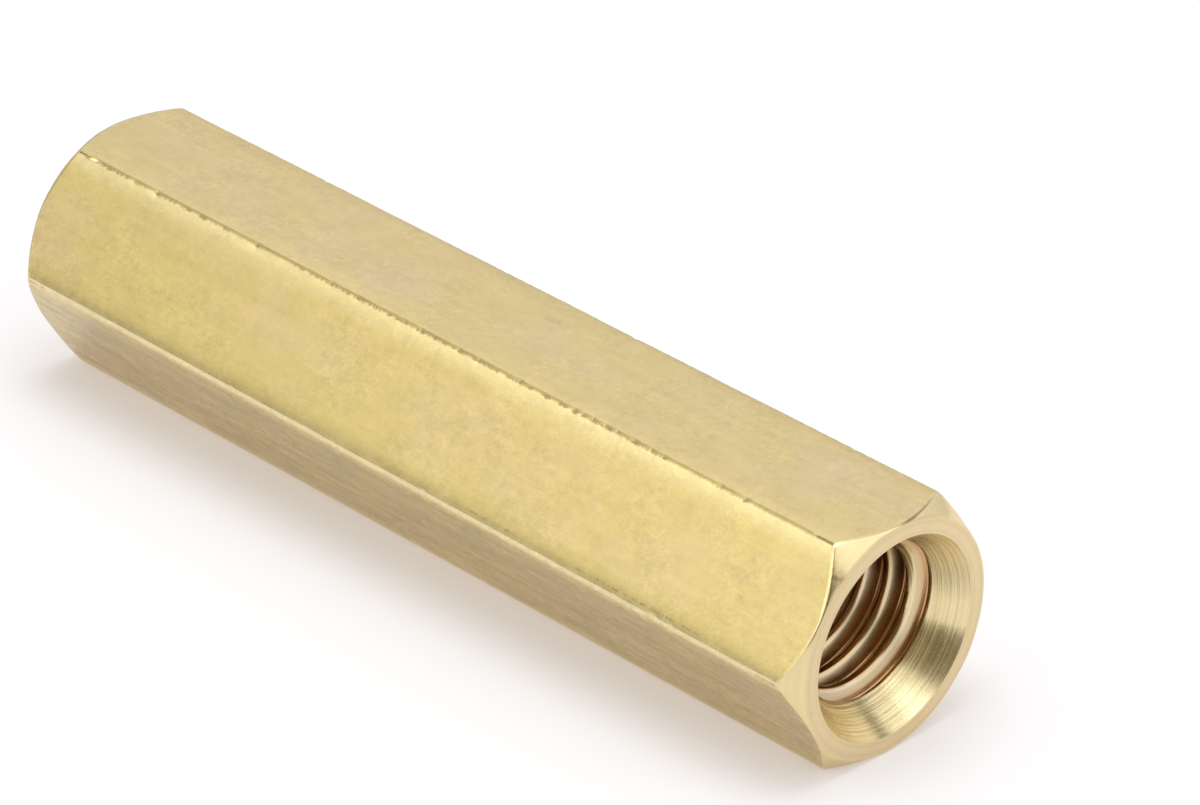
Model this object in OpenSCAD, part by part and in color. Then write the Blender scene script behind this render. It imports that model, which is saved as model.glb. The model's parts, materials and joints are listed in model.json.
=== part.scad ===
// Female-to-female hex standoff, made from one length of drawn brass hexagon bar.
// It lies on one flat: X runs along the bore, +Z is up, and the origin is the
// middle of the flat that it rests on. The bore is drawn at its tapping size.

/* [Body] */
// Overall length along the bore
body_length = 30; // [12:1:60]
// Width across two opposite flats of the hexagon
across_flats = 6.85; // [6.8:0.05:8]
// Radius along the six long edges of the drawn bar
edge_radius = 0.35; // [0.1:0.05:0.6]

/* [Ends] */
// Depth of the end chamfer where it meets the middle of a flat
chamfer_bite = 0.04; // [0.01:0.01:0.25]
// Slope of the outer end chamfer, measured from the end face
chamfer_angle = 45; // [25:5:50]

/* [Bore] */
// Diameter of the bore at its tapping size: 4.2 suits an M5 x 0.8 thread
bore_d = 4.2; // [2.5:0.1:4.4]
// Diameter of the countersink where it opens on the end face
mouth_d = 5.85; // [4.8:0.05:6]
// Included angle of the countersink
countersink_angle = 60; // [50:5:120]

/* [Hidden] */
$fn = 96;

af = across_flats;
flat_r = af / 2;                                  // axis to a flat
corner_r = flat_r / cos(30);                      // axis to a sharp corner
edge_meet = 5;                                    // angle at which a rounding meets the flats, in degrees
core_r = (flat_r - edge_radius * cos(edge_meet)) / cos(30);   // axis to the centre of a rounding
shoulder_r = core_r + edge_radius * cos(edge_meet) * cos(30); // axis to the line where the rounding begins
bore_r = bore_d / 2;                              // tapping drill
sink_depth = (mouth_d / 2 - bore_r) / tan(countersink_angle / 2);
face_r = flat_r - chamfer_bite;                   // flat turned face at each end
chamfer_l = (corner_r + 1 - face_r) * tan(chamfer_angle);  // run of the chamfer cone, past the corners
eps = 0.5;                                        // overshoot of the cutting tools

// Section of the drawn bar: a hexagon whose corners are true arcs.
module bar_section() {
    intersection() {
        circle(r = corner_r, $fn = 6);
        union() {
            rotate(30) circle(r = shoulder_r / cos(30), $fn = 6);
            for (i = [0:5])
                rotate(60 * i) translate([core_r, 0]) circle(r = edge_radius);
        }
    }
}

// The turning tool's envelope: a cylinder with a cone at each end.
module turned_envelope() {
    rotate_extrude()
        polygon([[0, -body_length / 2],
                 [face_r, -body_length / 2],
                 [face_r + chamfer_l / tan(chamfer_angle), -body_length / 2 + chamfer_l],
                 [face_r + chamfer_l / tan(chamfer_angle), body_length / 2 - chamfer_l],
                 [face_r, body_length / 2],
                 [0, body_length / 2]]);
}

// The tapping drill and both countersinks, as one stepped void.
module bore_void() {
    cylinder(r = bore_r, h = body_length + 2 * eps, center = true);
    for (m = [0, 1]) mirror([0, 0, m])
        translate([0, 0, body_length / 2 - sink_depth])
            cylinder(r1 = bore_r, r2 = mouth_d / 2 + eps * tan(countersink_angle / 2),
                     h = sink_depth + eps);
}

module standoff() {
    color("#cdb067")
    translate([0, 0, flat_r]) rotate([0, 90, 0]) rotate([0, 0, 90])
        difference() {
            intersection() {
                linear_extrude(height = body_length, center = true) bar_section();
                turned_envelope();
            }
            bore_void();
        }
}

standoff();
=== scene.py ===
import math

import bpy
import numpy as np
from mathutils import Matrix, Vector
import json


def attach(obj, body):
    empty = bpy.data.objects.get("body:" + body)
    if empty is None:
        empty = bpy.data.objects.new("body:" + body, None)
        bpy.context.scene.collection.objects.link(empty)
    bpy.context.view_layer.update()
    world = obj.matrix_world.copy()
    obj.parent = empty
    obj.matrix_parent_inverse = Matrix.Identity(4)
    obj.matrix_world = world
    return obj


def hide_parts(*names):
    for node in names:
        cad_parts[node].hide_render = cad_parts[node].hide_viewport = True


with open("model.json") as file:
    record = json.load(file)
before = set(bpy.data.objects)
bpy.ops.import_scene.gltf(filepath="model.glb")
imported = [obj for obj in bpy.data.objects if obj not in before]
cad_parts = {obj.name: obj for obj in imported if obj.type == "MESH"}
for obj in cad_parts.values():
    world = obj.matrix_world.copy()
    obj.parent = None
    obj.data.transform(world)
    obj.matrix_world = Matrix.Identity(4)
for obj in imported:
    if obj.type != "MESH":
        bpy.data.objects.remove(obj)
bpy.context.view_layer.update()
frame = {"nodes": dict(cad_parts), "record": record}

# ---------------------------------------------------------------- sizes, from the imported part
# The unit U is a fifth of the width across flats, 1.37 mm; lengths below are in U unless they say otherwise.
MM = 0.001
node = frame["nodes"]["standoff"]
cad = np.array([v.co for v in node.data.vertices], float)
U = float(cad[:, 2].max() - cad[:, 2].min()) / 5
cad /= U
lo, hi = cad.min(0), cad.max(0)
HALF = (hi[0] - lo[0]) / 2                      # half of the length
MID_X = (hi[0] + lo[0]) / 2
AXIS_Z = (hi[2] + lo[2]) / 2                    # height of the bore's axis
FLAT_R = (hi[2] - lo[2]) / 2                    # axis to a flat
CORNER_R = hi[1]                                # axis to the top of an edge rounding
end_ring = np.hypot(cad[cad[:, 0] > hi[0] - 1e-4][:, 1], cad[cad[:, 0] > hi[0] - 1e-4][:, 2] - AXIS_Z)
FACE_R, MOUTH_R = float(end_ring.max()), float(end_ring.min())
BORE_R = [m for m in frame["record"]["mounts"] if m["kind"] == "threaded_hole"][0]["dims"]["r_mm"] * MM / U

PITCH = 0.8 * MM / U                            # M5 x 0.8
MAJOR_R = 2.5 * MM / U
CREST_R = BORE_R - 0.02                         # tapping raises the crests a little
CHAMFER = math.radians(45)                      # outer chamfer, from the end face
wall = cad[np.abs(np.hypot(cad[:, 1], cad[:, 2] - AXIS_Z) - BORE_R) < 0.01]
SINK = math.atan((MOUTH_R - BORE_R) / float(hi[0] - wall[:, 0].max()))      # half of the countersink's angle
THREAD_PHASE = 0.365                            # where the groove starts, as a share of the pitch


def smooth(t):
    t = np.clip(t, 0, 1)
    return t * t * (3 - 2 * t)


def hash01(n):
    """A repeatable number from 0 to 1 for each whole number."""
    n = np.asarray(n, np.int64)
    v = (n * 374761393 + 668265263) & 0xFFFFFFFF
    v = ((v ^ (v >> 13)) * 1274126177) & 0xFFFFFFFF
    return ((v ^ (v >> 16)) & 0xFFFFFF) / float(0xFFFFFF)


def noise1(x, seed=0):
    """Smooth repeatable noise along a line, from -1 to 1."""
    x = np.asarray(x, float)
    i = np.floor(x).astype(np.int64)
    f = smooth(x - i)
    return (hash01(i + seed * 7919) * (1 - f) + hash01(i + 1 + seed * 7919) * f) * 2 - 1


def loop_noise(theta, k, seed):
    """Smooth noise around a circle with about k waves."""
    s = np.zeros_like(np.asarray(theta, float))
    for j in range(1, 6):
        m = max(1, int(round(k * j / 3)))
        a, p = hash01(seed * 31 + j), hash01(seed * 17 + j + 99) * 2 * math.pi
        s = s + (0.4 + a) * np.sin(m * theta + p) / j
    return s / 1.8


# ---------------------------------------------------------------- section of the drawn bar
ROLL_DEG, ROLL_W = 5.0, 0.62                    # the flats fall away a little before each edge
EDGE_R = 0.16                                   # radius of the edge itself


def half_section():
    """From the middle of a flat to the middle of an edge: points as (outward, sideways)."""
    n = 400
    roll = np.linspace(0, 1, n)
    psi_roll = np.radians(ROLL_DEG) * roll ** 2.4
    step = ROLL_W / (n - 1)
    dx = -np.concatenate([[0], np.cumsum((np.sin(psi_roll[:-1]) + np.sin(psi_roll[1:])) / 2 * step)])
    dy = np.concatenate([[0], np.cumsum((np.cos(psi_roll[:-1]) + np.cos(psi_roll[1:])) / 2 * step)])
    a0, a1 = math.radians(ROLL_DEG), math.radians(30)
    arc = np.linspace(a0, a1, 7)
    ax = dx[-1] + EDGE_R * (np.cos(arc) - math.cos(a0))
    ay = dy[-1] + EDGE_R * (np.sin(arc) - math.sin(a0))
    flat = (FLAT_R + ax[-1]) * math.tan(a1) - ay[-1]          # length of the true flat, to one side
    pts = [(FLAT_R, flat * f) for f in (0, 0.15, 0.45, 0.8, 1.0)]
    for t in (0.2, 0.36, 0.5, 0.63, 0.75, 0.85, 0.94):
        i = int(round(t * (n - 1)))
        pts.append((FLAT_R + dx[i], flat + dy[i]))
    pts += [(FLAT_R + x, flat + y) for x, y in zip(ax, ay)]
    return np.array(pts)


def section():
    """The whole outline, counter-clockwise from +Y, as (y, z - axis)."""
    h = half_section()
    out, edge = [], []
    for k in range(6):                          # flat k has its normal at 30 + 60 k degrees
        a = math.radians(30 + 60 * k)
        n, t = np.array([math.cos(a), math.sin(a)]), np.array([-math.sin(a), math.cos(a)])
        for o, s in h[:0:-1][1:]:               # falling side, without the shared edge point
            out.append(n * o - t * s)
        for o, s in h:
            out.append(n * o + t * s)
    return np.array(out)


SEC = section()
SEC_TH = np.unwrap(np.arctan2(SEC[:, 1], SEC[:, 0]))
SEC_R = np.hypot(SEC[:, 0], SEC[:, 1])
SEC_R = SEC_R * min(1.0, (CORNER_R - 1e-4) / SEC_R.max())
NCOL = len(SEC)


def bend(p0, p1, p2, t, n):
    """Rounds the corner p1 between p0 and p2, starting t before it and ending t after it: n + 1 points."""
    a = p1 + (p0 - p1) / np.maximum(np.linalg.norm(p0 - p1, axis=-1, keepdims=True), 1e-9) * t
    b = p1 + (p2 - p1) / np.maximum(np.linalg.norm(p2 - p1, axis=-1, keepdims=True), 1e-9) * t
    s = np.linspace(0, 1, n + 1)
    return [a * (1 - u) ** 2 + p1 * 2 * u * (1 - u) + b * u * u for u in s]


# ---------------------------------------------------------------- small damage on the long edges
# (edge, x, reach along the edge, depth, reach across): edge 2 is the front one on top, edge 3 the front one in the middle
NICKS = [
    (2, 3.78, 0.07, 0.012, 0.09), (2, 4.02, 0.06, 0.008, 0.08), (2, 4.27, 0.05, 0.010, 0.07),
    (2, 4.61, 0.07, 0.014, 0.08), (2, 4.92, 0.05, 0.009, 0.07), (2, 5.38, 0.08, 0.014, 0.08),
    (2, 5.83, 0.06, 0.009, 0.07), (2, 6.18, 0.08, 0.007, 0.09), (2, 7.64, 0.06, 0.008, 0.07),
    (2, 8.30, 0.07, 0.008, 0.08), (2, -8.81, 0.10, 0.010, 0.09),
    (2, -8.12, 0.08, 0.020, 0.10), (2, -5.15, 0.08, 0.014, 0.09), (2, -2.99, 0.06, 0.009, 0.07),
    (2, -2.20, 0.12, 0.012, 0.09), (2, -0.92, 0.06, 0.009, 0.07), (2, -0.45, 0.07, 0.012, 0.07),
    (2, 0.62, 0.06, 0.008, 0.07), (2, 1.18, 0.06, 0.010, 0.07), (2, 2.29, 0.07, 0.010, 0.08),
    (3, 7.30, 0.10, 0.022, 0.12), (3, 7.80, 0.07, 0.012, 0.09), (3, 6.30, 0.06, 0.010, 0.08),
    (3, 1.10, 0.07, 0.011, 0.09), (3, -4.40, 0.06, 0.010, 0.09),
    (1, 2.60, 0.09, 0.020, 0.12), (1, -6.20, 0.06, 0.014, 0.10), (1, 8.40, 0.06, 0.012, 0.10),
    (0, -1.70, 0.08, 0.020, 0.12), (0, 5.20, 0.10, 0.016, 0.12), (0, -8.90, 0.06, 0.016, 0.10),
    (5, 3.30, 0.07, 0.012, 0.10), (4, -2.70, 0.08, 0.014, 0.10), (4, 6.70, 0.06, 0.011, 0.10),
]


def body_rows():
    """Places along the bar for the rows of the outside, close together where an edge is nicked."""
    end = HALF - (SEC_R.max() - FACE_R) * math.tan(CHAMFER) - 0.06
    want = list(np.linspace(-end, end, 32))
    for _, x, reach, _, _ in NICKS:
        want += [x + d * reach for d in (-1.4, -0.65, 0.0, 0.65, 1.4)]
    want = sorted(w for w in want if -end <= w <= end)
    rows = [want[0]]
    for w in want[1:]:
        if w - rows[-1] > 0.028:
            rows.append(w)
    rows[-1] = end
    return np.array(rows)


def nicked(x, th, r):
    """The outside radius after the damage on the edges."""
    cut = np.zeros(np.broadcast(x, th, r).shape)
    for e, x0, reach, depth, across in NICKS:
        a = math.radians(60 * e)
        d = (th - a + math.pi) % (2 * math.pi) - math.pi
        s = d * CORNER_R                        # distance round from the edge's crest
        fx = (x - x0) / reach
        cut += depth * np.exp(-fx * fx * 1.4) * np.exp(-(s / across) ** 2 * 1.6)
    for e in range(6):                          # a crest that isn't quite true
        a = math.radians(60 * e)
        d = (th - a + math.pi) % (2 * math.pi) - math.pi
        s = d * CORNER_R
        w = np.exp(-(s / 0.09) ** 2)
        cut += w * 0.0035 * (1 + noise1(x / 0.33, e + 3)) * (0.5 + 0.5 * noise1(x / 2.1, e + 40) ** 2)
    return r - cut


# ---------------------------------------------------------------- bore: countersinks and thread
ROOT = PITCH / 16                               # half of the flat at the bottom of a groove
CREST = ROOT + (MAJOR_R - CREST_R) * math.tan(math.radians(30))     # middle of a groove to the edge of a crest


def groove(h):
    """Radius of the threaded wall, from its place across the thread (0 is the middle of a groove)."""
    s = np.abs((h + PITCH / 2) % PITCH - PITCH / 2)
    r = MAJOR_R - (s - ROOT) / math.tan(math.radians(30))
    r = (r + CREST_R + np.sqrt((r - CREST_R) ** 2 + 0.055 ** 2)) / 2        # worn crest corners
    r = (r + MAJOR_R - np.sqrt((r - MAJOR_R) ** 2 + 0.02 ** 2)) / 2
    return r


def tool_rings(w):
    """Marks left by the countersink, by distance in from the end."""
    return (0.0009 * np.sin(w / 0.085 * 2 * math.pi) * smooth((w - 0.18) / 0.2)
            + 0.0007 * noise1(w / 0.035, 5) + 0.0016 * noise1(w / 0.16, 6))


def bore_radius(x, th):
    """Radius of the wall of the bore and of both countersinks."""
    hh = x - PITCH * (th / (2 * math.pi) + THREAD_PHASE)
    burr = 0.006 * loop_noise(th, 9, 3) * noise1(x / 0.31, 8)
    r = groove(hh) + burr
    for sgn in (1, -1):
        w = HALF - sgn * x
        cone = MOUTH_R - w / math.tan(math.pi / 2 - SINK) + tool_rings(w) * (w > 0.05)
        r = np.maximum(r, cone)
    return r


NB = 114                                        # columns round the bore
KF = 28                                         # rows for each pitch near the ends
half_s = np.array([0, 0.020, ROOT, 0.055, 0.078, 0.105, 0.132, 0.156] + [CREST + d for d in (-0.040, -0.024, -0.010, 0.004, 0.018, 0.038)]
                  + [PITCH / 2])
S_FINE = np.concatenate([half_s, PITCH - half_s[-2:0:-1]])     # places across one pitch, from groove to groove
COARSE = (2, 8, 14, 20, 26)
TOP = HALF - (MOUTH_R - MAJOR_R) / math.tan(SINK) + 0.055       # the helical rows begin here, still on the cone
FINE_END = TOP - 3.2 * PITCH - 0.4


def helix_x(H, th):
    m, k = np.divmod(H, KF)
    return m * PITCH + S_FINE[k] + PITCH * (th / (2 * math.pi) + THREAD_PHASE)


def mesh_standoff():
    verts, quads, tris = [], [], []

    def add(x, th, r):
        verts.append((x, r * math.cos(th), r * math.sin(th)))
        return len(verts) - 1

    # ---- outside, one grid of rows by columns
    rows = body_rows()
    grid_x, grid_r = [], []
    for x in rows:
        grid_x.append(np.full(NCOL, x))
        grid_r.append(nicked(x, SEC_TH, SEC_R))
    run = (SEC_R - FACE_R) * math.tan(CHAMFER)
    waver = 0.006 * (1 + np.clip(loop_noise(SEC_TH, 23, 12), -1, 1))
    start = HALF - run - waver * smooth(run / 0.06)     # where the chamfer meets this column
    slant = (SEC_R - FACE_R) / math.cos(CHAMFER)
    t2 = np.minimum(0.075, 0.6 * slant)[:, None]
    p1 = np.c_[start, SEC_R]
    p2 = np.c_[np.full(NCOL, HALF), np.full(NCOL, FACE_R)]
    p3 = np.c_[np.full(NCOL, HALF), np.full(NCOL, FACE_R - 0.3)]
    ds = np.array([0.010, 0.014, 0.019, 0.019, 0.010, 0.006, 0.006])
    lean = np.radians([4, 11, 14, 15, 19, 28, 39])
    along, down = np.cumsum(ds * np.cos(lean)), np.cumsum(ds * np.sin(lean))
    fit = np.minimum(1.0, 0.4 * slant / (down[-1] / math.sin(CHAMFER)))
    deg = np.degrees(SEC_TH) % 360
    fit = fit * (1 - 0.62 * smooth((deg - 149) / 6) * smooth((181 - deg) / 5))
    lip = [np.c_[start - fit * (along[-1] - down[-1]), SEC_R]]      # the edge of a flat rolls over before the chamfer
    for a, b in zip(along, down):
        lip.append(lip[0] + np.c_[fit * a, -fit * b])
    nose = bend(p1, p2, p3, t2, 6)
    end_rows = []
    first, last = rows[-1], lip[0][:, 0]
    for f in (0.4, 0.75):
        end_rows.append(np.c_[first + (last - first) * f, SEC_R])
    end_rows.append(np.c_[last - np.minimum(0.012, 0.1 * (last - first)), SEC_R])
    end_rows += lip
    for f in (0.35, 0.7):
        end_rows.append(lip[-1] * (1 - f) + nose[0] * f)
    end_rows += nose
    r_face = nose[-1][:, 1]
    ring_out = MOUTH_R + 0.62 * (FACE_R - MOUTH_R)
    end_rows.append(np.c_[np.full(NCOL, HALF), r_face - 0.012])
    end_rows.append(np.c_[np.full(NCOL, HALF), np.full(NCOL, ring_out)])
    for e in end_rows:
        grid_x.append(e[:, 0])
        keep = e[:, 1]
        near = np.clip((HALF - e[:, 0]) / 0.3, 0, 1)
        grid_r.append(keep - (SEC_R - nicked(e[:, 0], SEC_TH, SEC_R)) * near * (keep > FACE_R))
        grid_x.insert(0, -e[:, 0])
        grid_r.insert(0, keep - (SEC_R - nicked(-e[:, 0], SEC_TH, SEC_R)) * near * (keep > FACE_R))
    grid = np.zeros((len(grid_x), NCOL), int)
    for i, (gx, gr) in enumerate(zip(grid_x, grid_r)):
        for j in range(NCOL):
            grid[i, j] = add(gx[j], SEC_TH[j], gr[j])
    n_end = len(end_rows)
    zone = []
    for i in range(len(grid_x) - 1):
        turned = i < n_end - 8 or i >= len(grid_x) - 1 - (n_end - 8)
        for j in range(NCOL):
            quads.append((grid[i, j], grid[i, (j + 1) % NCOL], grid[i + 1, (j + 1) % NCOL], grid[i + 1, j]))
            zone.append(1 if turned else 0)

    # ---- inside, one column of vertices for each step round, with a key that says which rows meet
    b_th = np.arange(NB) * 2 * math.pi / NB
    mouth = bend(np.array([HALF, MOUTH_R + 0.3]), np.array([HALF, MOUTH_R]),
                 np.array([HALF - 1.0, MOUTH_R - 1.0 * math.tan(SINK)]), 0.02, 5)
    flat_ring = [np.array([HALF, MOUTH_R + 0.075]), np.array([HALF, MOUTH_R + 0.038])]
    cone_x = np.linspace(mouth[-1][0] - 0.016, TOP + 0.006, 24)
    columns = []
    for i, th in enumerate(b_th):
        col = []
        Hs = []
        H = int(math.floor((-TOP - PITCH * 2) / PITCH)) * KF
        while True:
            x = helix_x(H, th)
            if x > TOP:
                break
            if x >= -TOP:
                if abs(x) > FINE_END or H % KF in COARSE:
                    Hs.append(H)
            H += 1
        for j, p in enumerate(flat_ring + mouth):
            col.append((-1e7 + j, add(-p[0], th, p[1])))
        for j, x in enumerate(cone_x):
            col.append((-9e6 + j, add(-x, th, float(bore_radius(-x, th)))))
        xs = np.array([helix_x(H, th) for H in Hs])
        rs = bore_radius(xs, th)
        for H, x, r in zip(Hs, xs, rs):
            col.append((H, add(x, th, r)))
        for j, x in enumerate(cone_x[::-1]):
            col.append((9e6 + j, add(x, th, float(bore_radius(x, th)))))
        for j, p in enumerate((flat_ring + mouth)[::-1]):
            col.append((1e7 + j, add(p[0], th, p[1])))
        columns.append(col)
    n_turned = len(flat_ring) + len(mouth) + len(cone_x)
    for i in range(NB):
        A, B = columns[i], columns[(i + 1) % NB]
        if i == NB - 1:
            B = [(k - KF if abs(k) < 5e6 else k, v) for k, v in B]
        a = b = 0
        while a < len(A) - 1 or b < len(B) - 1:
            ka = A[a + 1][0] if a < len(A) - 1 else 1e12
            kb = B[b + 1][0] if b < len(B) - 1 else 1e12
            z = 1 if (abs(ka) > 5e6 and abs(kb) > 5e6) else 2
            if ka == kb:
                quads.append((A[a][1], A[a + 1][1], B[b + 1][1], B[b][1]))
                zone.append(z)
                a, b = a + 1, b + 1
            elif ka < kb:
                tris.append((A[a][1], A[a + 1][1], B[b][1], z))
                a += 1
            else:
                tris.append((A[a][1], B[b + 1][1], B[b][1], z))
                b += 1

    # ---- the flat ring that joins the two, at each end
    for row, pick in ((grid[-1], -1), (grid[0], 0)):
        outer = [(float(SEC_TH[j] % (2 * math.pi)), int(row[j])) for j in range(NCOL)]
        inner = [(float(b_th[i]), columns[i][pick][1]) for i in range(NB)]
        outer.sort()
        inner.sort()
        outer.append((outer[0][0] + 2 * math.pi, outer[0][1]))
        inner.append((inner[0][0] + 2 * math.pi, inner[0][1]))
        a = b = 0
        while a < len(outer) - 1 or b < len(inner) - 1:
            ka = outer[a + 1][0] if a < len(outer) - 1 else 1e9
            kb = inner[b + 1][0] if b < len(inner) - 1 else 1e9
            if ka <= kb:
                tris.append((outer[a][1], outer[a + 1][1], inner[b][1], 1))
                a += 1
            else:
                tris.append((outer[a][1], inner[b + 1][1], inner[b][1], 1))
                b += 1
    v = np.array(verts)
    faces = [tuple(int(c) for c in q) for q in quads] + [tuple(int(c) for c in t[:3]) for t in tris]
    zone += [t[3] for t in tris]
    for i, f in enumerate(faces):
        if zone[i] == 2:
            c = v[list(f)].mean(0)
            if abs(c[0]) > FINE_END and math.hypot(c[1], c[2]) < MOUTH_R - (HALF - abs(c[0])) * math.tan(SINK) + 0.012:
                zone[i] = 1
    v *= U
    v[:, 0] += MID_X * U
    v[:, 2] += AXIS_Z * U
    return v, faces, zone


def make_standoff(mats):
    v, faces, zone = mesh_standoff()
    me = bpy.data.meshes.new("standoff_body")
    me.from_pydata([tuple(p) for p in v], [], faces)
    for m in mats:
        me.materials.append(m)
    me.polygons.foreach_set("material_index", zone)
    me.polygons.foreach_set("use_smooth", [True] * len(faces))
    me.update()
    import bmesh
    bm = bmesh.new()
    bm.from_mesh(me)
    bmesh.ops.recalc_face_normals(bm, faces=bm.faces)
    open_edges = sum(1 for e in bm.edges if len(e.link_faces) != 2)
    vol = bm.calc_volume(signed=True)
    print(f"standoff mesh: {len(bm.verts)} vertices, {sum(len(f.verts) - 2 for f in bm.faces)} triangles, "
          f"{open_edges} open edges, volume {vol * 1e9:.1f} mm3")
    bm.to_mesh(me)
    bm.free()
    o = bpy.data.objects.new("standoff_body", me)
    bpy.context.scene.collection.objects.link(o)
    return o


# ---------------------------------------------------------------- materials
class Net:
    """Short calls that add shader nodes and return their outputs."""

    def __init__(self, tree):
        self.t = tree

    def put(self, sock, v):
        if isinstance(v, bpy.types.NodeSocket):
            self.t.links.new(v, sock)
        elif v is not None:
            sock.default_value = v

    def math(self, op, a, b=None, c=None, clamp=False):
        n = self.t.nodes.new("ShaderNodeMath")
        n.operation, n.use_clamp = op, clamp
        for i, v in enumerate((a, b, c)):
            self.put(n.inputs[i], v)
        return n.outputs[0]

    def vmath(self, op, a, b=None, out="Vector"):
        n = self.t.nodes.new("ShaderNodeVectorMath")
        n.operation = op
        self.put(n.inputs[0], a)
        if b is not None:
            self.put(n.inputs[1], b)
        return n.outputs[out]

    def ramp(self, v, lo_, hi_, to_lo=0.0, to_hi=1.0, kind="SMOOTHSTEP"):
        n = self.t.nodes.new("ShaderNodeMapRange")
        n.interpolation_type = kind
        n.clamp = True
        for i, x in enumerate((v, lo_, hi_, to_lo, to_hi)):
            self.put(n.inputs[i], x)
        return n.outputs[0]

    def mix(self, f, a, b):
        n = self.t.nodes.new("ShaderNodeMix")
        n.data_type = "RGBA"
        self.put(n.inputs[0], f)
        self.put(n.inputs[6], a)
        self.put(n.inputs[7], b)
        return n.outputs[2]


def part_coords(net):
    """Places along the bar, from its axis, and from the nearest long edge (minus before it, plus after it), all in U."""
    t = net.t
    obj = t.nodes.new("ShaderNodeTexCoord").outputs["Object"]
    p = net.vmath("SCALE", net.vmath("SUBTRACT", obj, (MID_X * U, 0, AXIS_Z * U)), None)
    p.node.inputs["Scale"].default_value = 1 / U
    sep = t.nodes.new("ShaderNodeSeparateXYZ")
    t.links.new(p, sep.inputs[0])
    x, y, z = sep.outputs
    turn = net.math("DIVIDE", net.math("ARCTAN2", z, y), math.pi / 3)
    near = net.math("ROUND", turn)
    off = net.math("MULTIPLY", net.math("SUBTRACT", turn, near), math.pi / 3)
    away = net.math("SUBTRACT", FLAT_R * math.tan(math.pi / 6), net.math("MULTIPLY", net.math(
        "TANGENT", net.math("SUBTRACT", math.pi / 6, net.math("ABSOLUTE", off))), FLAT_R))
    edge = net.math("MULTIPLY", away, net.math("SIGN", off))
    rad = net.math("SQRT", net.math("ADD", net.math("MULTIPLY", y, y), net.math("MULTIPLY", z, z)))
    return p, x, rad, edge, away, near, net.math("FLOOR", turn)


def noise(net, vec, scale, detail=2.0, rough=0.55, stretch=None, dims="3D", w=None):
    t = net.t
    if stretch:
        vec = net.vmath("MULTIPLY", vec, stretch)
    n = t.nodes.new("ShaderNodeTexNoise")
    n.noise_dimensions = dims
    if vec is not None and dims != "1D":
        t.links.new(vec, n.inputs["Vector"])
    if w is not None:
        net.put(n.inputs["W"], w)
    n.inputs["Scale"].default_value = scale
    n.inputs["Detail"].default_value = detail
    n.inputs["Roughness"].default_value = rough
    return n.outputs[0]


def brass(name, rough, aniso, turn):
    m = bpy.data.materials.new(name)
    m.use_nodes = True
    b = m.node_tree.nodes["Principled BSDF"]
    b.inputs["Metallic"].default_value = 1
    b.inputs["Roughness"].default_value = rough
    b.inputs["Anisotropic"].default_value = aniso
    b.inputs["Anisotropic Rotation"].default_value = turn
    if aniso:
        tan = m.node_tree.nodes.new("ShaderNodeTangent")
        tan.direction_type, tan.axis = "RADIAL", "X"
        m.node_tree.links.new(tan.outputs[0], b.inputs["Tangent"])
    return m, b, Net(m.node_tree)


def bump(net, b, height, strength, distance, normal=None):
    n = net.t.nodes.new("ShaderNodeBump")
    net.put(n.inputs["Strength"], strength)
    n.inputs["Distance"].default_value = distance
    net.t.links.new(height, n.inputs["Height"])
    if normal is not None:
        net.t.links.new(normal, n.inputs["Normal"])
    net.t.links.new(n.outputs[0], b.inputs["Normal"])
    return n.outputs[0]


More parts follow.
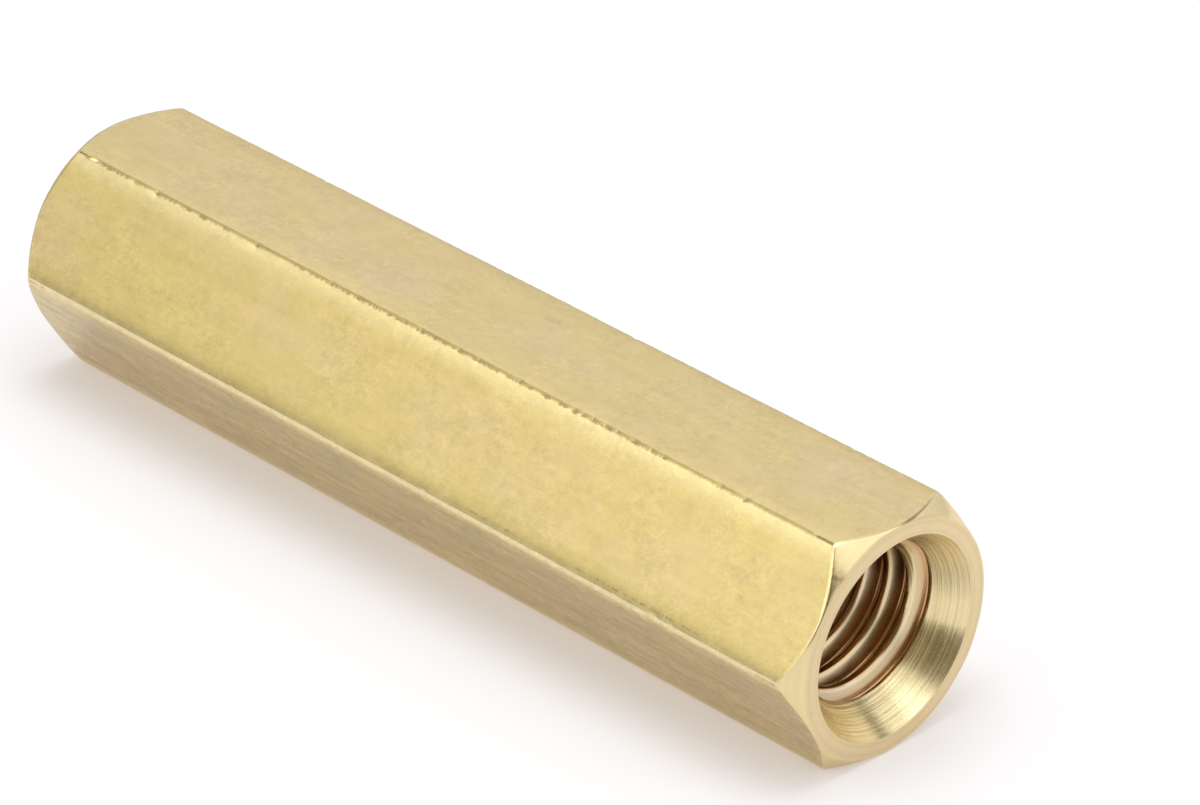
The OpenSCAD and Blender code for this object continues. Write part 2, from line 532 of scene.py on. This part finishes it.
def drawn_brass():
    """Bright drawn bar: satin, a fine grain, faint lengthwise lines, an oxidised dark line along the knocked edges;
    painted highlights by the front edges, painted shade on the lower front flat and a painted dark reflection along the
    middle front edge.
    """
    m, b, net = brass("brass_drawn", 0.24, 0.35, 0.0)
    p, x, rad, edge, away, near, face = part_coords(net)
    yellow, pink, olive = (0.790, 0.628, 0.285, 1), (0.790, 0.620, 0.335, 1), (0.40, 0.295, 0.120, 1)
    cloud = net.ramp(noise(net, p, 0.55, 3.0, 0.6, (0.7, 1, 1)), 0.36, 0.66)
    cloud = net.math("MULTIPLY", cloud, net.ramp(away, 0.12, 0.65, 0.25, 1.0))      # the edges keep the clean yellow
    col = net.mix(cloud, yellow, pink)
    grain = noise(net, p, 6.0, 2.5, 0.60, (0.8, 1, 1))
    fine = noise(net, p, 18.0, 2.0, 0.6, (0.7, 1, 1))
    soft = noise(net, p, 2.1, 2.0, 0.55, (0.7, 1, 1))
    patchy = net.ramp(noise(net, p, 0.75, 2.0, 0.5), 0.36, 0.64, 0.45, 1.25)         # the grain shows more in some places
    lines = noise(net, p, 7.0, 3.0, 0.6, (0.03, 1, 1))
    under = net.math("COMPARE", face, -3.0, 0.5)                # the lower front flat: its grain shows more, and painted shade darkens it
    tone = net.math("ADD", net.ramp(grain, 0.25, 0.75, -0.075, 0.065, "LINEAR"), net.ramp(fine, 0.25, 0.75, -0.06, 0.06, "LINEAR"))
    tone = net.math("MULTIPLY_ADD", tone, net.math("ADD", patchy, net.math("MULTIPLY", under, 0.7)), 0.99)
    tone = net.math("ADD", tone, net.ramp(lines, 0.3, 0.7, -0.025, 0.02, "LINEAR"))
    tone = net.math("ADD", tone, net.ramp(soft, 0.3, 0.7, -0.045, 0.035, "LINEAR"))
    spots = noise(net, p, 2.6, 4.0, 0.7, (0.6, 1, 1))
    tone = net.math("MULTIPLY", tone, net.ramp(spots, 0.58, 0.76, 1.0, 0.91))
    # painted shade: the lower front flat, which faces down to the table, is darkened in streaks away from its edges
    streak = noise(net, p, 5.0, 3.0, 0.65, (0.12, 1, 1))
    painted_shade_under = net.math("MULTIPLY", net.math("MULTIPLY", under, net.ramp(away, 0.0, 0.32)), net.ramp(streak, 0.28, 0.72, -0.36, -0.12, "LINEAR"))
    tone = net.math("MULTIPLY", tone, net.math("ADD", painted_shade_under, 1.0))
    front = net.math("COMPARE", near, 2.0, 0.5)
    middle = net.math("COMPARE", net.math("ABSOLUTE", near), 3.0, 0.5)
    # painted highlight: paler, brighter colour by the front edges and where the flats roll over into the chamfer
    painted_highlight = net.math("MULTIPLY", front, net.math("MULTIPLY", net.ramp(edge, 0.02, 0.07), net.ramp(edge, 0.20, 0.50, 0.8, 0.0)))
    painted_highlight = net.math("MAXIMUM", painted_highlight, net.math("MULTIPLY", middle, net.ramp(net.math("ABSOLUTE", net.math("ADD", edge, 0.03)), 0.06, 0.12, 0.9, 0.0)))
    to_chamfer = net.math("SUBTRACT", HALF + FACE_R, net.math("ADD", net.math("ABSOLUTE", x), rad))
    painted_highlight = net.math("MAXIMUM", painted_highlight, net.ramp(to_chamfer, 0.05, 0.085, 0.7, 0.0))
    col = net.mix(painted_highlight, col, (0.815, 0.678, 0.390, 1))
    tone = net.math("MAXIMUM", tone, net.math("MULTIPLY", painted_highlight, 0.97))
    col = net.vmath("SCALE", col)
    net.put(col.node.inputs["Scale"], tone)
    # a dark broken line along the edges: oxidised on the crest of most; on the middle front one, just before the crest,
    # it is a painted dark reflection
    shift = net.math("MULTIPLY", near, 37.0)
    knock = noise(net, None, 4.2, 3.0, 0.75, dims="1D", w=net.math("ADD", x, shift))
    where = noise(net, None, 0.33, 1.0, 0.5, dims="1D", w=net.math("ADD", x, net.math("ADD", shift, 11.0)))
    busy = net.math("MULTIPLY", front, net.math("MULTIPLY", net.ramp(x, -3.2, -1.5), net.ramp(x, 6.6, 5.4)))
    amount = net.math("MULTIPLY", net.ramp(knock, 0.42, 0.58),
                      net.math("MAXIMUM", net.ramp(where, 0.34, 0.54, 0.25, 1.0), busy))
    amount = net.math("MULTIPLY", amount, net.math("SUBTRACT", 1.0, net.math("MULTIPLY", middle, net.ramp(x, -1.0, 2.5, 0.6, 0.0))))
    amount = net.math("MULTIPLY", amount, net.math("SUBTRACT", 1.0, net.math("MULTIPLY", front, net.ramp(x, 5.8, 6.8, 0.0, 0.55))))
    for at, reach in ((3.80, 0.09), (4.02, 0.05), (6.18, 0.07), (8.30, 0.06), (-8.12, 0.08), (-5.15, 0.07)):
        hit = net.ramp(net.math("ABSOLUTE", net.math("SUBTRACT", x, at)), reach * 0.4, reach * 1.2, 1.0, 0.0)
        amount = net.math("MAXIMUM", amount, net.math("MULTIPLY", hit, front))
    # painted reflection: on the middle front edge the dark line is moved to just before the crest
    off = net.math("ABSOLUTE", net.math("ADD", edge, net.math("MULTIPLY_ADD", middle, 0.165, net.math("MULTIPLY", front, -0.035))))
    wobble = net.ramp(noise(net, None, 9.0, 2.0, 0.6, dims="1D", w=net.math("ADD", x, shift)), 0.3, 0.7, 0.4, 1.35, "LINEAR")
    width = net.math("MULTIPLY", wobble, net.math("MULTIPLY_ADD", middle, -0.012, 0.052))
    band = net.ramp(net.math("DIVIDE", off, width), 0.55, 1.1, 1.0, 0.0)
    oxide_and_dark_reflection = net.math("MULTIPLY", amount, band)
    ux, ue = net.math("MULTIPLY_ADD", x, 1 / 0.075, -3.80 / 0.075), net.math("MULTIPLY_ADD", edge, 1 / 0.050, -1.0)
    dent = net.math("SQRT", net.math("ADD", net.math("MULTIPLY", ux, ux), net.math("MULTIPLY", ue, ue)))
    oxide_and_dark_reflection = net.math("MAXIMUM", oxide_and_dark_reflection, net.math("MULTIPLY", front, net.ramp(dent, 0.6, 1.2, 1.0, 0.0)))
    oxide_and_dark_reflection = net.math("MULTIPLY", oxide_and_dark_reflection, net.ramp(to_chamfer, 0.12, 0.42))
    col = net.mix(net.math("MULTIPLY", oxide_and_dark_reflection, 0.8), col, olive)
    net.put(b.inputs["Base Color"], col)
    r = net.math("ADD", net.ramp(noise(net, p, 3.0, 3.0, 0.6), 0.3, 0.7, 0.20, 0.26, "LINEAR"),
                 net.math("MULTIPLY", oxide_and_dark_reflection, 0.2))
    r = net.math("ADD", r, net.math("MULTIPLY", net.ramp(to_chamfer, 0.05, 0.085, 1.0, 0.0), net.ramp(away, 0.08, 0.22, 0.22, 0.0)))   # worn corners
    net.put(b.inputs["Roughness"], r)
    h = net.math("ADD", net.math("MULTIPLY", grain, 0.25), net.math("MULTIPLY", lines, 0.45))
    h = net.math("ADD", h, net.math("MULTIPLY", soft, 0.9))
    bump(net, b, h, 0.35, 0.004 * U)
    return m


# painted reflection: centre of the brown dark patch on the chamfer
DARK_REFLECTION_SPOT = (HALF - 0.13, 2.6 * math.cos(math.radians(130)), 2.6 * math.sin(math.radians(130)))


def turned_brass():
    """Faced ends and countersinks: fine rings left by the tool, and a painted dark reflection on one chamfer."""
    m, b, net = brass("brass_turned", 0.24, 0.93, 0.25)
    p, x, rad, edge, away, near, face = part_coords(net)
    yellow, pink = (0.795, 0.652, 0.355, 1), (0.765, 0.608, 0.352, 1)
    face_on = net.ramp(net.math("ABSOLUTE", x), HALF - 0.03, HALF - 0.005)
    col = net.mix(net.ramp(rad, MOUTH_R - 0.02, MOUTH_R + 0.02, 1.0, 0.0), yellow, (0.870, 0.738, 0.440, 1))
    col = net.mix(face_on, col, pink)
    up = net.vmath("DOT_PRODUCT", p, (0, 0, 1), "Value")
    calm = net.ramp(up, -0.9, -0.1, 1.0, 0.45)                  # the upper half of the cone is cut cleaner
    across = net.math("ADD", rad, net.math("MULTIPLY", net.math("ABSOLUTE", x), 0.7))
    rings = noise(net, None, 26.0, 3.0, 0.65, dims="1D", w=across)
    wide = noise(net, None, 9.0, 2.0, 0.5, dims="1D", w=across)
    smear = noise(net, p, 2.2, 3.0, 0.6)
    inside = net.ramp(rad, MOUTH_R - 0.02, MOUTH_R + 0.02, 1.0, 0.0)
    tone = net.math("MULTIPLY_ADD", net.ramp(rings, 0.3, 0.7, -0.05, 0.03, "LINEAR"), net.math("MULTIPLY_ADD", net.math("MULTIPLY", inside, calm), 1.9, 0.8), 1.0)
    tone = net.math("ADD", tone, net.ramp(smear, 0.3, 0.7, -0.03, 0.03, "LINEAR"))
    tone = net.math("ADD", tone, net.ramp(wide, 0.35, 0.65, -0.03, 0.02, "LINEAR"))
    col = net.vmath("SCALE", col)
    net.put(col.node.inputs["Scale"], tone)
    # painted reflection: a brown dark patch on the chamfer below the front top corner, where the chamfer mirrors the
    # dark opening of the tent
    painted_dark_reflection = net.ramp(net.vmath("DISTANCE", p, DARK_REFLECTION_SPOT, "Value"), 0.10, 0.26, 1.0, 0.0)
    painted_dark_reflection = net.math("MULTIPLY", painted_dark_reflection, net.ramp(noise(net, p, 7.0, 3.0, 0.6), 0.42, 0.62))
    col = net.mix(net.math("MULTIPLY", painted_dark_reflection, 0.75), col, (0.42, 0.28, 0.12, 1))
    net.put(b.inputs["Base Color"], col)
    net.put(b.inputs["Roughness"], net.ramp(smear, 0.3, 0.7, 0.22, 0.28, "LINEAR"))
    h = net.math("ADD", net.math("MULTIPLY", rings, 0.7), net.math("MULTIPLY", wide, 1.2))
    bump(net, b, h, net.math("MULTIPLY_ADD", net.math("MULTIPLY", inside, calm), 0.7, 0.3), 0.012 * U)
    return m


def tapped_brass():
    """The thread: cut bright, with lines along the cut."""
    m, b, net = brass("brass_tapped", 0.15, 0.6, 0.25)
    p, x, rad, edge, away, near, face = part_coords(net)
    yellow, pink, brown = (0.80, 0.66, 0.40, 1), (0.79, 0.65, 0.445, 1), (0.63, 0.345, 0.140, 1)
    smear = noise(net, p, 1.6, 3.0, 0.6)
    across = net.math("ADD", rad, net.math("MULTIPLY", smear, 0.05))
    cut = noise(net, None, 17.0, 3.0, 0.75, dims="1D", w=across)
    col = net.mix(net.ramp(smear, 0.4, 0.6), yellow, pink)
    col = net.mix(net.ramp(rad, CREST_R + 0.08, MAJOR_R - 0.03, 0.0, 0.74), col, brown)       # painted shade: darker towards the bottom of the groove
    col = net.mix(net.ramp(rad, CREST_R + 0.010, CREST_R + 0.045, 1.0, 0.0), col, brown)
    tone = net.math("ADD", net.ramp(cut, 0.3, 0.7, 0.74, 1.10, "LINEAR"), net.ramp(smear, 0.3, 0.7, -0.05, 0.04, "LINEAR"))
    col = net.vmath("SCALE", col)
    net.put(col.node.inputs["Scale"], tone)
    net.put(b.inputs["Base Color"], col)
    net.put(b.inputs["Roughness"], net.ramp(smear, 0.3, 0.7, 0.19, 0.26, "LINEAR"))
    bump(net, b, cut, 0.7, 0.0025 * U)
    return m


drawn, turned, tapped = drawn_brass(), turned_brass(), tapped_brass()
body = make_standoff([drawn, turned, tapped])
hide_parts("standoff")
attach(body, "root")

# ---------------------------------------------------------------- floor, light, camera
fm = bpy.data.materials.new("paper")
fm.use_nodes = True
fb = fm.node_tree.nodes["Principled BSDF"]
fb.inputs["Base Color"].default_value = (0.480, 0.530, 0.575, 1)
fb.inputs["Emission Color"].default_value = (0.42, 0.348, 0.318, 1)    # a lit table: warm light comes up through it too
fb.inputs["Emission Strength"].default_value = 1.0
fb.inputs["Roughness"].default_value = 0.9
fb.inputs["Specular IOR Level"].default_value = 0.1
me = bpy.data.meshes.new("floor")
s = 1.5
me.from_pydata([(-s, -s, -2e-5), (s, -s, -2e-5), (s, s, -2e-5), (-s, s, -2e-5)], [], [(0, 1, 2, 3)])
me.materials.append(fm)
floor = bpy.data.objects.new("floor", me)
bpy.context.scene.collection.objects.link(floor)

scene = bpy.context.scene
scene.view_settings.view_transform = "Standard"
scene.view_settings.look = "None"
world = bpy.data.worlds.new("studio")
scene.world = world
world.use_nodes = True


def studio(tree):
    """A white tent: bright above, greyer near the table, with a few soft dark places at its openings."""
    net = Net(tree)
    out = tree.nodes["Background"]
    d = tree.nodes.new("ShaderNodeTexCoord").outputs["Generated"]
    sep = tree.nodes.new("ShaderNodeSeparateXYZ")
    tree.links.new(d, sep.inputs[0])
    z = sep.outputs[2]

    def spot(az, el, inner, outer):
        a, e = math.radians(az), math.radians(el)
        c = (math.cos(e) * math.cos(a), math.cos(e) * math.sin(a), math.sin(e))
        dot = net.vmath("DOT_PRODUCT", d, c, "Value")
        return net.ramp(dot, math.cos(math.radians(outer)), math.cos(math.radians(inner)))

    level = net.ramp(z, math.sin(math.radians(17)), math.sin(math.radians(44)), 0.96, 1.30)
    for az, el, inner, outer, gain in SPOTS:
        level = net.math("MULTIPLY", level, net.math("MULTIPLY_ADD", spot(az, el, inner, outer), gain - 1, 1.0))
    rim = net.ramp(z, 0.0, math.sin(math.radians(19)), RIM, 1.0)
    level = net.math("MULTIPLY", level, rim)
    tint = (1, 1, 1, 1)
    for az, el, inner, outer, colour in TINTS:
        tint = net.mix(spot(az, el, inner, outer), tint, (*colour, 1))
    tree.links.new(level, out.inputs["Strength"])
    net.put(out.inputs["Color"], tint)


# azimuth, elevation, radius where it is full, radius where it has gone, and what it multiplies the light by
RIM = 0.76
SPOTS = [
    (-53, 27, 22, 36, 0.08),                    # the opening that the camera looks through
    (59, 31, 3, 9, 0.55),                       # a seam in the tent
    (135, 34, 25, 50, 0.80),                    # the back left side is a little duller
    (-172, 16, 18, 46, 0.66),
    (-108, 22, 13, 31, 1.28),                   # and the front left one brighter
    (-99, 22, 5, 15, 1.30),
    (-127, -2, 6, 17, 0.40),                    # the table's far side
    (-175, 53, 8, 20, 0.60),
    (-134, 30, 5, 13, 1.30),
    (85, 41, 4, 8, 0.03), (72, 40, 4, 8, 0.08), (98, 42, 4, 8, 0.08),      # another seam
    (110, 42, 4, 9, 0.30), (60, 37, 4, 9, 0.40),
    (66, 60, 6, 14, 1.35),
    (98, 9, 8, 20, 1.16),
]
TINTS = [
    (135, 34, 20, 60, (0.99, 0.99, 1.03)),
    (-128, 12, 18, 52, (0.98, 0.975, 0.83)),
    (-53, 27, 20, 34, (1.0, 0.90, 0.52)),
]
studio(world.node_tree)

top = bpy.data.lights.new("softbox", "AREA")
top.shape, top.size = "DISK", 160 * U
top.energy = 0.22 * (U / MM) ** 2
top_o = bpy.data.objects.new("softbox", top)
top_o.location = (0, 0, 250 * U)
scene.collection.objects.link(top_o)

cam = bpy.data.cameras.new("camera")
cam.sensor_width = 36.0
cam.lens = 189.0377
cam.clip_start, cam.clip_end = 0.005, 5.0
cam_o = bpy.data.objects.new("camera", cam)
scene.collection.objects.link(cam_o)
cam_o.location = (76.20862 * U, -76.25391 * U, 65.07648 * U)
cam_o.rotation_mode = "XYZ"
cam_o.rotation_euler = (1.0483225, -0.0278789, 0.7806128)
scene.camera = cam_o

import json
